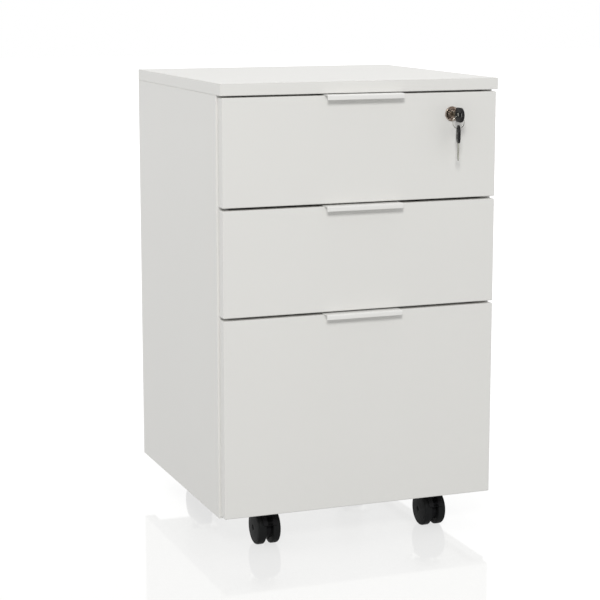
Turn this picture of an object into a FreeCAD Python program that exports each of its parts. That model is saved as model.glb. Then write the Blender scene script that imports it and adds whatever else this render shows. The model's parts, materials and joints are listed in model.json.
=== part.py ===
import FreeCAD, Part
import math
import os

# Mobile drawer pedestal: laminated-board body, three drawers on ball-bearing slides, four twin-wheel casters.
# The origin is on the floor under the middle of the whole object, +X to the right, +Y to the back, +Z up.
# All sizes are in millimetres.

# Overall size
cabinet_width = 400.0
cabinet_height = 637.5          # floor to the top of the slab
cabinet_depth = 385.0           # drawer faces to the rear edges of the panels

# Boards
top_thickness = 16.0
side_thickness = 16.0
bottom_thickness = 16.0
face_thickness = 18.0
wall_thickness = 12.0
back_thickness = 5.0
tray_thickness = 4.0            # drawer bottoms
panel_edge_radius = 0.8
face_edge_radius = 1.4
groove_depth = 5.0              # grooves for the back and the drawer bottoms
groove_clearance = 0.1
back_inset = 8.0                # rear edges of the sides to the back panel
skirt_drop = 7.0                # sides reach this far below the bottom panel

# Top rails
rail_width = 16.0
rail_height = 20.0
rail_setback = 4.3              # front rail behind the front edges of the sides

# Drawer faces
shallow_face_height = 143.0     # the face under the slab is higher, by what its gap is smaller
face_gap = 3.5                  # between faces
slab_gap = 2.5                  # between the slab and the highest face
face_side_inset = 2.5           # faces are narrower than the body
face_clearance = 0.7            # behind the closed faces
face_bottom_reveal = 3.0        # lowest face above the lower edges of the sides

# Drawer boxes
wall_drop = 34.0                # top of a face to the top of its drawer walls
wall_rise = 14.0                # bottom of a face to the bottom of its walls
floor_clearance = 8.0           # bottom panel to the lowest drawer
tray_rise = 10.0                # bottom of the walls to the drawer bottom
box_rear_gap = 9.0              # drawer box to the back panel
file_rail_steel = 1.5
file_rail_lip = 11.0
file_rail_end_gap = 1.0

# Ball-bearing slides
slide_space = 12.5              # side panel to drawer wall
slide_height = 45.0
slide_steel = 1.2
slide_gap = 0.6                 # running gap between the members
channel_mouth_gap = 2.0         # edge of the cabinet member to the drawer wall
slide_rise = 30.0               # bottom of the walls to the middle of the slide
slide_front_inset = 1.3
slide_rear_gap = 2.0
slide_screw_inset = 40.0

# Handles: one folded strip over the top edge of each face
handle_length = 110.0
handle_steel = 1.5
handle_reach = 12.0             # front of the face to the front of the lip
lip_height = 7.0
bend_radius = 1.35              # outside of the folds
leg_height = 22.0
handle_screw_spacing = 64.0

# Lock
lock_side_inset = 66.8          # right edge of the face to the lock
lock_drop = 29.0                # top of the face to the lock
bezel_radius = 10.0
bezel_height = 2.0
bezel_round = 0.8
barrel_radius = 8.5
plug_radius = 6.0
plug_clearance = 0.1
plug_proud = 0.4
barrel_gap = 0.3                # barrel to the cam
tail_radius = 3.0
tail_proud = 1.0
cam_thickness = 2.0
cam_width = 10.0
cam_round = 4.5
cam_clearance = 1.3             # front rail to the cam
cam_hold = 12.0                 # how far the turned cam reaches up behind the front rail

# Keys and their ring
key_standoff = 13.0             # face to the head of the key in the lock
head_length = 24.0
head_width = 20.0
head_thickness = 3.8
shoulder_length = 4.0           # where the head narrows towards the blade
shoulder_step = 1.0
neck_step = 1.5                 # the neck stands this much proud of the blade
window_length = 6.0
window_width = 5.4
window_inset = 3.8
window_round = 1.2
window_bar = 3.0                # between the two windows of a head
blade_length = 24.0
blade_width = 7.0
blade_thickness = 1.8
blade_chamfer = 2.0
keyway_clearance = 0.15
ring_radius = 8.5               # to the middle of the wire
ring_wire = 1.4
ring_clearance = 0.4
ring_standoff = 21.3            # face to the ring
spare_key_turn = 17.0           # degrees that the hanging key is turned about the vertical

# Casters
caster_side_inset = 75.0        # outside of the body to the swivel
caster_end_inset = 63.0         # faces, or rear edges, to the swivel
trail = 18.0                    # swivel to the axle
wheel_radius = 24.0
wheel_pair_width = 34.0
wheel_middle_gap = 10.0
tread_chamfer = 1.5
shoulder_width = 4.0            # flat tread to the outer end of the hub
shoulder_drop = 2.0
rim_inset = 2.2                 # rim of the domed face behind the hub's end
dome_inset = 0.7
wheel_clearance = 0.8           # wheel to hood
hood_thickness = 2.0
hood_mouth = 8.0                # axle up to the open edge of the hood
hood_side_inset = 7.0           # hood narrower than the pair of wheels, on each side
hood_crown = 0.9                # flat top above the round fender
hood_rear_reach = 2.0           # flat back behind the round fender
hood_corner = 5.0
web_radius = 16.5               # round middle web between the wheels
axle_inset = 3.0
axle_radius = 3.5
axle_clearance = 0.1
web_clearance = 0.6
plate_size = 38.0
plate_thickness = 2.5
plate_corner = 4.0
collar_radius = 8.0
pin_radius = 5.0
pin_depth = 5.0
swivel_gap = 0.3
collar_height = 3.0
plate_screw_spacing = 28.0

# Fasteners
dowel_radius = 4.0
dowel_length = 30.0
dowel_shallow = 11.0            # how deep a dowel sits in the thinner of its two boards
dowel_front_inset = 45.0
dowel_rear_inset = 55.0
floor_dowel_inset = 45.0
disc_front_inset = 75.0
disc_rear_inset = 90.0
disc_radius = 7.5
disc_depth = 12.0
disc_drop = 34.0
bolt_radius = 3.0
screw_radius = 1.7
screw_length = 10.0
flat_head_radius = 3.2
pan_head_radius = 3.4
pan_head_height = 1.8
fastener_clearance = 0.05

# Places worked out from the sizes above
half_width = cabinet_width / 2
hood_top = wheel_radius * 2 + wheel_clearance + hood_thickness + hood_crown
caster_height = hood_top + swivel_gap + collar_height + plate_thickness
key_reach = key_standoff + head_length
face_y = (key_reach - cabinet_depth) / 2
carcass_y = face_y + face_thickness + face_clearance
rear_y = face_y + cabinet_depth
inner_half = half_width - side_thickness
side_bottom = caster_height - skirt_drop
side_top = cabinet_height - top_thickness
bottom_top = caster_height + bottom_thickness
back_y = rear_y - back_inset - back_thickness
face_half = half_width - face_side_inset
box_half = inner_half - slide_space
box_y = face_y + face_thickness
box_rear = back_y - box_rear_gap
rail_y = carcass_y + rail_setback
rail_bottom = side_top - rail_height
slide_front = carcass_y + slide_front_inset
slide_rear = back_y - slide_rear_gap
lock_x = face_half - lock_side_inset
lock_z = side_top - slab_gap - lock_drop
cam_y = rail_y + rail_width + cam_clearance
cam_reach = rail_bottom - lock_z + cam_hold
ring_y = face_y - ring_standoff

Vector = FreeCAD.Vector
axis_x = Vector(1, 0, 0)
axis_y = Vector(0, 1, 0)
axis_z = Vector(0, 0, 1)
nodes = {}


def box(x_range, y_range, z_range):
    low = Vector(min(x_range), min(y_range), min(z_range))
    high = Vector(max(x_range), max(y_range), max(z_range))
    size = high - low
    return Part.makeBox(size.x, size.y, size.z, low)


def rod(start, axis, radius, length):
    return Part.makeCylinder(radius, length, start, axis)


def rounded(solid, radius):
    return solid.makeFillet(radius, solid.Edges)


def drilled(solid, cutters):
    for cutter in cutters:
        solid = solid.cut(cutter)
    return solid


def prism(points, direction):
    wire = Part.makePolygon(points + [points[0]])
    return Part.Face(wire).extrude(direction)


def edges_along(solid, axis):
    return [edge for edge in solid.Edges if abs(edge.tangentAt(edge.FirstParameter).dot(axis)) > 0.99]


def add(name, *solids):
    nodes[name] = list(solids)


def drawer_size(name, bottom, top, walls):
    # bottom and top are the face's edges, and walls is where the drawer walls start.
    return {"name": name, "bottom": bottom, "top": top, "walls": walls}


def drawer_sizes():
    # Faces stack downwards from the slab, and the lowest one takes the height that is left.
    lowest = side_bottom + face_bottom_reveal
    first_top = side_top - slab_gap
    first_bottom = side_top - face_gap - shallow_face_height
    second_top = first_bottom - face_gap
    second_bottom = second_top - shallow_face_height
    third_top = second_bottom - face_gap
    return [
        drawer_size("top_drawer", first_bottom, first_top, first_bottom + wall_rise),
        drawer_size("second_drawer", second_bottom, second_top, second_bottom + wall_rise),
        drawer_size("file_drawer", lowest, third_top, bottom_top + floor_clearance),
    ]


# ---- carcass ----

def side_dowel_places():
    # Upright dowels that join each side to the slab.
    return (carcass_y + dowel_front_inset, rear_y - dowel_rear_inset)


def disc_places():
    return (carcass_y + disc_front_inset, rear_y - disc_rear_inset)


def upright_dowels(side, radius):
    x = side * (half_width - side_thickness / 2)
    start = side_top + dowel_shallow - dowel_length
    return [rod(Vector(x, y, start), axis_z, radius, dowel_length) for y in side_dowel_places()]


def level_dowels(side, radius):
    # Dowels along X that join the rails and the bottom panel to a side.
    rail_z = side_top - rail_height / 2
    floor_z = caster_height + bottom_thickness / 2
    places = [
        (rail_y + rail_width / 2, rail_z),
        (back_y - rail_width / 2, rail_z),
        (carcass_y + floor_dowel_inset, floor_z),
        (back_y - floor_dowel_inset, floor_z),
    ]
    outer = side * (inner_half + dowel_shallow)
    return [rod(Vector(outer, y, z), axis_x * -side, radius, dowel_length) for y, z in places]


def cam_discs(side, radius):
    start = side * inner_half
    z = side_top - disc_drop
    return [rod(Vector(start, y, z), axis_x * side, radius, disc_depth) for y in disc_places()]


def cam_bolts(side, radius):
    x = side * (half_width - side_thickness / 2)
    start = side_top - disc_drop + disc_radius
    length = disc_drop - disc_radius + dowel_shallow
    return [rod(Vector(x, y, start), axis_z, radius, length) for y in disc_places()]


def build_top_panel():
    panel = box((-half_width, half_width), (face_y, rear_y), (side_top, cabinet_height))
    panel = rounded(panel, panel_edge_radius)
    for side in (-1, 1):
        panel = drilled(panel, upright_dowels(side, dowel_radius + fastener_clearance))
        panel = drilled(panel, cam_bolts(side, bolt_radius + fastener_clearance))
    return panel


def build_side_panel(side):
    panel = box((side * inner_half, side * half_width), (carcass_y, rear_y), (side_bottom, side_top))
    panel = rounded(panel, panel_edge_radius)
    groove = box(
        (side * (inner_half - 1), side * (inner_half + groove_depth)),
        (back_y - groove_clearance, back_y + back_thickness + groove_clearance),
        (side_bottom - 1, side_top + 1),
    )
    panel = panel.cut(groove)
    panel = drilled(panel, upright_dowels(side, dowel_radius + fastener_clearance))
    panel = drilled(panel, level_dowels(side, dowel_radius + fastener_clearance))
    panel = drilled(panel, cam_discs(side, disc_radius + fastener_clearance))
    return drilled(panel, cam_bolts(side, bolt_radius + fastener_clearance))


def build_back_panel():
    reach = inner_half + groove_depth - groove_clearance
    return box((-reach, reach), (back_y, back_y + back_thickness), (caster_height, side_top))


def build_cross_panel(y_range, z_range):
    panel = box((-inner_half, inner_half), y_range, z_range)
    for side in (-1, 1):
        panel = drilled(panel, level_dowels(side, dowel_radius + fastener_clearance))
    return panel


def build_bottom_panel(screws):
    panel = build_cross_panel((carcass_y, back_y), (caster_height, bottom_top))
    return drilled(panel, screws)


def build_carcass():
    add("top_panel", build_top_panel())
    add("back_panel", build_back_panel())
    add("bottom_panel", build_bottom_panel(caster_screw_holes()))
    add("front_top_rail", build_cross_panel((rail_y, rail_y + rail_width), (rail_bottom, side_top)))
    add("rear_top_rail", build_cross_panel((back_y - rail_width, back_y), (rail_bottom, side_top)))
    dowels = []
    fittings = []
    for side in (-1, 1):
        dowels += upright_dowels(side, dowel_radius) + level_dowels(side, dowel_radius)
        fittings += cam_discs(side, disc_radius) + cam_bolts(side, bolt_radius - fastener_clearance)
    add("panel_dowels", *dowels)
    add("cam_fittings", *fittings)


# ---- slides ----
# Each member is a steel channel.
# The cabinet and middle members open towards the drawer, and the inner one opens away from it.

def channel(side, back_u, mouth_u, half_height, z):
    # u is measured from the side panel towards the drawer, and the web stands at back_u.
    def at(u):
        return side * (inner_half - u)
    turn = 1 if mouth_u > back_u else -1
    length = (slide_front, slide_rear)
    web = box((at(back_u), at(back_u + turn * slide_steel)), length, (z - half_height, z + half_height))
    upper = box((at(back_u), at(mouth_u)), length, (z + half_height - slide_steel, z + half_height))
    lower = box((at(back_u), at(mouth_u)), length, (z - half_height, z - half_height + slide_steel))
    return web.fuse([upper, lower]).removeSplitter()


def slide_screw(side, seat_u, turn, y, z, clearance=0.0):
    # A flat-headed screw whose head fills the web. Its shank points along turn, and 1 is towards the drawer.
    seat = Vector(side * (inner_half - seat_u), y, z)
    direction = axis_x * (-side * turn)
    head = rod(seat - direction * slide_steel, direction, flat_head_radius + clearance, slide_steel)
    shank = rod(seat, direction, screw_radius + clearance, screw_length)
    return head.fuse(shank).removeSplitter()


def slide_screw_places():
    return (slide_front + slide_screw_inset, box_rear - slide_screw_inset)


def cabinet_rail_screws(side, z, clearance=0.0):
    return [slide_screw(side, 0.0, -1, y, z, clearance) for y in slide_screw_places()]


def inner_rail_screws(side, z, clearance=0.0):
    return [slide_screw(side, slide_space, 1, y, z, clearance) for y in slide_screw_places()]


def build_slide(name, z):
    outer_half = slide_height / 2
    middle_half = outer_half - slide_steel - slide_gap
    inner_half_height = middle_half - slide_steel - slide_gap
    middle_back = slide_steel + slide_gap
    cabinet_rails = []
    middle_rails = []
    inner_rails = []
    for side in (-1, 1):
        outer = channel(side, 0.0, slide_space - channel_mouth_gap, outer_half, z)
        cabinet_rails.append(drilled(outer, cabinet_rail_screws(side, z, fastener_clearance)))
        middle_rails.append(channel(side, middle_back, slide_space - slide_steel - slide_gap, middle_half, z))
        inner = channel(side, slide_space, middle_back + slide_steel + slide_gap, inner_half_height, z)
        behind_box = box((-half_width, half_width), (box_rear, rear_y), (side_bottom, side_top))
        inner = inner.cut(behind_box)
        inner_rails.append(drilled(inner, inner_rail_screws(side, z, fastener_clearance)))
    add(name + "_cabinet_rails", *cabinet_rails)
    add(name + "_middle_rails", *middle_rails)
    add(name + "_inner_rails", *inner_rails)


# ---- drawers ----

def handle_screws(top, clearance=0.0):
    z = top - leg_height / 2
    screws = []
    for x in (-handle_screw_spacing / 2, handle_screw_spacing / 2):
        seat = Vector(x, box_y + handle_steel, z)
        head = rod(seat, axis_y, pan_head_radius, pan_head_height)
        shank = rod(seat - axis_y * screw_length, axis_y, screw_radius + clearance, screw_length)
        screws.append(head.fuse(shank).removeSplitter())
    return screws


def build_handle(top):
    # A strip folded over the top edge: a leg behind the face, a flange across it and a lip in front.
    half = (-handle_length / 2, handle_length / 2)
    lip_y = face_y - handle_reach
    crest = top + handle_steel
    points = [
        (box_y + handle_steel, top - leg_height),
        (box_y + handle_steel, crest),
        (lip_y, crest),
        (lip_y, crest - lip_height),
        (lip_y + handle_steel, crest - lip_height),
        (lip_y + handle_steel, top),
        (box_y, top),
        (box_y, top - leg_height),
    ]
    strip = prism([Vector(half[0], y, z) for y, z in points], axis_x * handle_length)
    bends = [edge for edge in strip.Edges if is_outer_bend(edge, lip_y, crest)]
    strip = strip.makeFillet(bend_radius, bends)
    return drilled(strip, handle_screws(top, fastener_clearance))


def is_outer_bend(edge, lip_y, crest):
    centre = edge.CenterOfMass
    at_crest = abs(centre.z - crest) < 0.01
    at_end = min(abs(centre.y - lip_y), abs(centre.y - box_y - handle_steel)) < 0.01
    return at_crest and at_end and abs(edge.Length - handle_length) < 0.01


def build_face(drawer):
    face = box((-face_half, face_half), (face_y, box_y), (drawer["bottom"], drawer["top"]))
    face = rounded(face, face_edge_radius)
    return drilled(face, handle_screws(drawer["top"], fastener_clearance))


def tray_groove(drawer):
    reach = box_half - wall_thickness + groove_depth
    low = drawer["walls"] + tray_rise
    rear = box_rear - wall_thickness + groove_depth
    return box(
        (-reach, reach),
        (box_y - 1, rear),
        (low - groove_clearance, low + tray_thickness + groove_clearance),
    )


def build_drawer(drawer):
    name = drawer["name"]
    low = drawer["walls"]
    high = drawer["top"] - wall_drop
    slide_z = low + slide_rise
    inner = box_half - wall_thickness
    groove = tray_groove(drawer)
    for side, word in ((-1, "left"), (1, "right")):
        wall = box((side * inner, side * box_half), (box_y, box_rear), (low, high)).cut(groove)
        add(name + "_" + word + "_wall", drilled(wall, inner_rail_screws(side, slide_z, fastener_clearance)))
    back = box((-inner, inner), (box_rear - wall_thickness, box_rear), (low, high)).cut(groove)
    add(name + "_back_wall", back)
    reach = inner + groove_depth - groove_clearance
    tray_rear = box_rear - wall_thickness + groove_depth - groove_clearance
    tray_low = low + tray_rise
    add(name + "_bottom", box((-reach, reach), (box_y, tray_rear), (tray_low, tray_low + tray_thickness)))
    add(name + "_front", build_face(drawer))
    add(name + "_handle", build_handle(drawer["top"]))
    screws = handle_screws(drawer["top"])
    for side in (-1, 1):
        screws += inner_rail_screws(side, slide_z)
    add(name + "_screws", *screws)
    build_slide(name, slide_z)


def build_file_rails(drawer):
    # An angle strip on each side wall, whose lip carries the hooks of hanging folders.
    seat = drawer["top"] - wall_drop
    inner = box_half - wall_thickness
    length = (box_y + file_rail_end_gap, box_rear - file_rail_end_gap)
    strips = []
    for side in (-1, 1):
        foot = box((side * inner, side * box_half), length, (seat, seat + file_rail_steel))
        lip = box((side * inner, side * (inner + file_rail_steel)), length, (seat, seat + file_rail_lip))
        strips.append(foot.fuse(lip).removeSplitter())
    add("hanging_file_rails", *strips)


# ---- lock and keys ----

def key_solids():
    # A key in its own frame: far end of the head at the origin, blade along +X, flat sides facing Z.
    half = head_width / 2
    corner = Vector(half, half, 0)
    shoulder = Vector(head_length - shoulder_length, half - shoulder_step, 0)
    neck = Vector(head_length, blade_width / 2 + neck_step, 0)
    def mirrored(point):
        return Vector(point.x, -point.y, 0)
    edges = [
        Part.Arc(mirrored(corner), Vector(0, 0, 0), corner).toShape(),
        Part.LineSegment(corner, shoulder).toShape(),
        Part.LineSegment(shoulder, neck).toShape(),
        Part.LineSegment(neck, mirrored(neck)).toShape(),
        Part.LineSegment(mirrored(neck), mirrored(shoulder)).toShape(),
        Part.LineSegment(mirrored(shoulder), mirrored(corner)).toShape(),
    ]
    head = Part.Face(Part.Wire(edges)).extrude(axis_z * head_thickness)
    head.translate(axis_z * (-head_thickness / 2))
    for start in (window_inset, window_inset + window_length + window_bar):
        window = Part.makeBox(
            window_length, window_width, head_thickness + 2,
            Vector(start, -window_width / 2, -head_thickness / 2 - 1),
        )
        head = head.cut(window.makeFillet(window_round, edges_along(window, axis_z)))
    blade = Part.makeBox(
        blade_length, blade_width, blade_thickness,
        Vector(head_length, -blade_width / 2, -blade_thickness / 2),
    )
    middle = head_length + blade_length / 2
    tip = [edge for edge in edges_along(blade, axis_z) if edge.CenterOfMass.x > middle]
    return [head, blade.makeChamfer(blade_chamfer, tip)]


def build_lock():
    centre = Vector(lock_x, face_y, lock_z)
    front = centre - axis_y * bezel_height
    barrel_length = cam_y - barrel_gap - face_y
    bezel = rod(front, axis_y, bezel_radius, bezel_height)
    rim = [edge for edge in bezel.Edges if edge.CenterOfMass.y < front.y + bezel_height / 4]
    bezel = bezel.makeFillet(bezel_round, rim)
    barrel = rod(centre, axis_y, barrel_radius, barrel_length)
    bore = rod(front - axis_y, axis_y, plug_radius + plug_clearance, barrel_length + bezel_height + 2)
    add("lock_housing", bezel.fuse(barrel).removeSplitter().cut(bore))
    plug_front = front - axis_y * plug_proud
    plug = rod(plug_front, axis_y, plug_radius, cam_y - plug_front.y)
    tail = rod(Vector(lock_x, cam_y, lock_z), axis_y, tail_radius, cam_thickness + tail_proud)
    slot_half = blade_thickness / 2 + keyway_clearance
    slot_height = blade_width / 2 + keyway_clearance
    keyway = box(
        (lock_x - slot_half, lock_x + slot_half),
        (plug_front.y - 1, face_y + blade_length),
        (lock_z - slot_height, lock_z + slot_height),
    )
    add("lock_plug", plug.fuse(tail).removeSplitter().cut(keyway))
    cam = box(
        (lock_x + cam_width / 2, lock_x - cam_reach),
        (cam_y, cam_y + cam_thickness),
        (lock_z - cam_width / 2, lock_z + cam_width / 2),
    )
    cam = cam.makeFillet(cam_round, edges_along(cam, axis_y))
    add("lock_cam", cam.cut(rod(Vector(lock_x, cam_y - 1, lock_z), axis_y, tail_radius, cam_thickness + 2)))


def wire_offset():
    # Middle of the ring's wire to the edge of a key's window that it rests on.
    return ring_wire / 2 + ring_clearance


def build_keys():
    # The key in the lock points backwards, with its head upright in front of the face.
    placed = []
    for solid in key_solids():
        solid.rotate(Vector(0, 0, 0), axis_x, 90)
        solid.rotate(Vector(0, 0, 0), axis_z, 90)
        solid.translate(Vector(lock_x, face_y - key_reach, lock_z))
        placed.append(solid)
    add("lock_key", *placed)
    ring_top = lock_z - window_width / 2 + wire_offset()
    ring_z = ring_top - ring_radius
    add("key_ring", Part.makeTorus(ring_radius, ring_wire / 2, Vector(lock_x, ring_y, ring_z), axis_y))
    # The spare key hangs from the ring by the far end of its window, with its blade pointing down.
    head_top = ring_z - ring_radius + window_inset + wire_offset()
    hung = []
    for solid in key_solids():
        solid.rotate(Vector(0, 0, 0), axis_y, 90)
        solid.rotate(Vector(0, 0, 0), axis_z, -spare_key_turn)
        solid.translate(Vector(lock_x, ring_y, head_top))
        hung.append(solid)
    add("spare_key", *hung)


# ---- casters ----

def caster_places():
    x = half_width - caster_side_inset
    front = face_y + caster_end_inset
    rear = rear_y - caster_end_inset
    return [
        ("front_left", -x, front, -1),
        ("front_right", x, front, -1),
        ("rear_left", -x, rear, 1),
        ("rear_right", x, rear, 1),
    ]


def plate_screw_centres(x, y):
    offset = plate_screw_spacing / 2
    return [(x + i * offset, y + j * offset) for i in (-1, 1) for j in (-1, 1)]


def caster_screw_holes():
    holes = []
    for _, x, y, _ in caster_places():
        for screw_x, screw_y in plate_screw_centres(x, y):
            start = Vector(screw_x, screw_y, caster_height - 1)
            holes.append(rod(start, axis_z, screw_radius + fastener_clearance, screw_length + 1.2))
    return holes


def caster_screws(x, y):
    screws = []
    under = caster_height - plate_thickness
    for screw_x, screw_y in plate_screw_centres(x, y):
        seat = Vector(screw_x, screw_y, under)
        head = rod(seat - axis_z * pan_head_height, axis_z, pan_head_radius, pan_head_height)
        shank = rod(seat, axis_z, screw_radius, plate_thickness + screw_length)
        screws.append(head.fuse(shank).removeSplitter())
    return screws


def caster_plate(x, y):
    under = caster_height - plate_thickness
    half = plate_size / 2
    plate = box((x - half, x + half), (y - half, y + half), (under, caster_height))
    plate = plate.makeFillet(plate_corner, edges_along(plate, axis_z))
    collar_start = hood_top + swivel_gap
    collar = rod(Vector(x, y, collar_start), axis_z, collar_radius, collar_height)
    pin_start = hood_top - pin_depth
    pin = rod(Vector(x, y, pin_start), axis_z, pin_radius, under - pin_start)
    plate = plate.fuse([collar, pin]).removeSplitter()
    holes = [
        rod(Vector(sx, sy, under - 1), axis_z, screw_radius + fastener_clearance, plate_thickness + 2)
        for sx, sy in plate_screw_centres(x, y)
    ]
    return drilled(plate, holes)


def caster_wheel(side, x, y):
    # A wheel with a flat tread, a round shoulder and a domed outer face, turned about its axle.
    inner = wheel_middle_gap / 2
    outer = wheel_pair_width / 2
    hub = axle_radius + axle_clearance
    shoulder = outer - shoulder_width
    rim = wheel_radius - shoulder_drop
    def at(u, r):
        return Vector(x + side * u, y, wheel_radius + r)
    dome = math.sqrt(0.5) * rim
    outline = [
        at(outer, hub),
        at(inner, hub),
        at(inner, wheel_radius - tread_chamfer),
        at(inner + tread_chamfer, wheel_radius),
        at(shoulder, wheel_radius),
        at(outer - rim_inset, rim),
    ]
    edges = [Part.LineSegment(a, b).toShape() for a, b in zip(outline, outline[1:])]
    edges.append(Part.Arc(outline[-1], at(outer - dome_inset, dome), outline[0]).toShape())
    return Part.Face(Part.Wire(edges)).revolve(Vector(x, y, wheel_radius), axis_x, 360)


def caster_hood(x, swivel_y, wheel_y):
    # A round web between the wheels, a fender over it and a block behind that holds the swivel pin.
    toward = 1 if swivel_y > wheel_y else -1
    half = wheel_pair_width / 2 - hood_side_inset
    inner_radius = wheel_radius + wheel_clearance
    outer_radius = inner_radius + hood_thickness
    back = wheel_y + toward * (outer_radius + hood_rear_reach)
    front = wheel_y - toward * outer_radius
    web_half = wheel_middle_gap / 2 - web_clearance
    axle = Vector(x, wheel_y, wheel_radius)
    width = (x - half, x + half)
    fender = rod(axle - axis_x * half, axis_x, outer_radius, 2 * half)
    block = box(width, (wheel_y, back), (wheel_radius, hood_top))
    uprights = edges_along(block, axis_z)
    rear_corners = [edge for edge in uprights if abs(edge.CenterOfMass.y - back) < hood_corner]
    shell = fender.fuse(block.makeFillet(hood_corner, rear_corners)).removeSplitter()
    shell = shell.cut(box(width, (front, back), (-wheel_radius, wheel_radius)))
    shell = shell.cut(box(width, (front, wheel_y), (0, wheel_radius + hood_mouth)))
    for side in (-1, 1):
        start = axle + axis_x * (side * web_half)
        shell = shell.cut(rod(start, axis_x * side, inner_radius, half))
    web_start = axle - axis_x * web_half
    collar = rod(web_start, axis_x, inner_radius + hood_thickness / 2, 2 * web_half)
    behind = box(width, (wheel_y, back), (wheel_radius, hood_top))
    above = box(width, (front, wheel_y), (wheel_radius + hood_mouth, hood_top))
    web = rod(web_start, axis_x, web_radius, 2 * web_half)
    web = web.fuse([collar.common(behind), collar.common(above)]).removeSplitter()
    hood = shell.fuse(web).removeSplitter()
    hood = hood.cut(rod(axle - axis_x * half, axis_x, axle_radius, 2 * half))
    socket_depth = pin_depth + swivel_gap
    socket_start = Vector(x, swivel_y, hood_top - socket_depth)
    return hood.cut(rod(socket_start, axis_z, pin_radius + axle_clearance, socket_depth + 1))


def build_casters():
    plates = []
    screws = []
    for name, x, y, away in caster_places():
        wheel_y = y + away * trail
        plates.append(caster_plate(x, y))
        screws += caster_screws(x, y)
        add(name + "_caster_hood", caster_hood(x, y, wheel_y))
        axle_half = wheel_pair_width / 2 - axle_inset
        start = Vector(x - axle_half, wheel_y, wheel_radius)
        add(name + "_caster_axle", rod(start, axis_x, axle_radius, 2 * axle_half))
        add(name + "_caster_wheels", caster_wheel(-1, x, wheel_y), caster_wheel(1, x, wheel_y))
    add("caster_plates", *plates)
    return screws


# ---- whole object ----

def build_all():
    drawers = drawer_sizes()
    build_carcass()
    for drawer in drawers:
        build_drawer(drawer)
    build_file_rails(drawers[2])
    build_lock()
    top_front = nodes["top_drawer_front"][0]
    start = Vector(lock_x, face_y - 1, lock_z)
    lock_hole = rod(start, axis_y, barrel_radius + fastener_clearance, face_thickness + 2)
    nodes["top_drawer_front"] = [top_front.cut(lock_hole)]
    build_keys()
    fixing_screws = build_casters()
    for side, word in ((-1, "left"), (1, "right")):
        holes = []
        for drawer in drawers:
            z = drawer["walls"] + slide_rise
            fixing_screws += cabinet_rail_screws(side, z)
            holes += cabinet_rail_screws(side, z, fastener_clearance)
        add(word + "_side_panel", drilled(build_side_panel(side), holes))
    add("fixing_screws", *fixing_screws)


def write_all():
    os.makedirs("parts", exist_ok=True)
    for name, solids in nodes.items():
        whole = solids[0] if len(solids) == 1 else Part.makeCompound(solids)
        whole.exportStep("parts/" + name + ".step")


build_all()
write_all()
print(len(nodes), "nodes")
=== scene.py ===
import json
from math import atan2, cos, pi, radians, sin, sqrt

import bmesh
import bpy
from mathutils import Matrix, Vector


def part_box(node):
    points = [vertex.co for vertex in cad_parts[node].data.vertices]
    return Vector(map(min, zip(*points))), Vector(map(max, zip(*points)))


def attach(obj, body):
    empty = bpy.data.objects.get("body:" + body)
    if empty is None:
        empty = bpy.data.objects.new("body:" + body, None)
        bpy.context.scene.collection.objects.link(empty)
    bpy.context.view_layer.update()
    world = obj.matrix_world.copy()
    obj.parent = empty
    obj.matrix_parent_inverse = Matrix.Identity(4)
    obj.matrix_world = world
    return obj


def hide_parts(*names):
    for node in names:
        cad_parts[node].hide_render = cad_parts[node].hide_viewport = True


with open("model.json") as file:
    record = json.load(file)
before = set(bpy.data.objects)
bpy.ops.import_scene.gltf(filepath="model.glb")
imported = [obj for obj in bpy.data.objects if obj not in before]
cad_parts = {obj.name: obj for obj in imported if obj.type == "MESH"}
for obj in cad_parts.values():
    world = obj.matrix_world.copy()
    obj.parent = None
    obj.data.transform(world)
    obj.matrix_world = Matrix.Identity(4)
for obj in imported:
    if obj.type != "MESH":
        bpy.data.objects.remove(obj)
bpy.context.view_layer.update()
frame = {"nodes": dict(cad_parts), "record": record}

print("frame loaded:", len(frame["nodes"]), "CAD nodes")

mm = 0.001
scene = bpy.context.scene
scene.view_settings.view_transform = "Standard"

drawerNames = ("top_drawer", "second_drawer", "file_drawer")
casterNames = ("front_left", "front_right", "rear_left", "rear_right")
joints = {joint["name"]: joint for joint in frame["record"]["behaviour"]["joints"]}


# small helpers for shader nodes

def addNode(tree, kind, links=None, **settings):
    node = tree.nodes.new("ShaderNode" + kind)
    for name, value in settings.items():
        setattr(node, name, value)
    for name, value in (links or {}).items():
        socket = node.inputs[name]
        if isinstance(value, bpy.types.NodeSocket):
            tree.links.new(value, socket)
        else:
            socket.default_value = value
    return node


def calc(tree, operation, first, second=0.0, third=0.0, clamp=False):
    links = {0: first, 1: second}
    if operation == "MULTIPLY_ADD":
        links[2] = third
    return addNode(tree, "Math", links, operation=operation, use_clamp=clamp).outputs[0]


def vectorCalc(tree, operation, first, second):
    return addNode(tree, "VectorMath", {0: first, 1: second}, operation=operation).outputs["Vector"]


def remap(tree, value, low, high, toLow=0.0, toHigh=1.0):
    links = {"Value": value, "From Min": low, "From Max": high, "To Min": toLow, "To Max": toHigh}
    return addNode(tree, "MapRange", links).outputs["Result"]


def mixColor(tree, factor, first, second):
    node = tree.nodes.new("ShaderNodeMix")
    node.data_type = "RGBA"
    for index, value in ((0, factor), (6, first), (7, second)):
        if isinstance(value, bpy.types.NodeSocket):
            tree.links.new(value, node.inputs[index])
        else:
            node.inputs[index].default_value = value
    return node.outputs[2]


def color(red, green, blue):
    return (red, green, blue, 1.0)


def newGroup(name, inputs, outputs):
    tree = bpy.data.node_groups.new(name, "ShaderNodeTree")
    for title, kind, value in inputs:
        socket = tree.interface.new_socket(name=title, in_out="INPUT", socket_type="NodeSocket" + kind)
        if value is not None:
            socket.default_value = value
    for title, kind in outputs:
        tree.interface.new_socket(name=title, in_out="OUTPUT", socket_type="NodeSocket" + kind)
    entry = tree.nodes.new("NodeGroupInput")
    leave = tree.nodes.new("NodeGroupOutput")
    return tree, entry.outputs, leave.inputs


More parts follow.
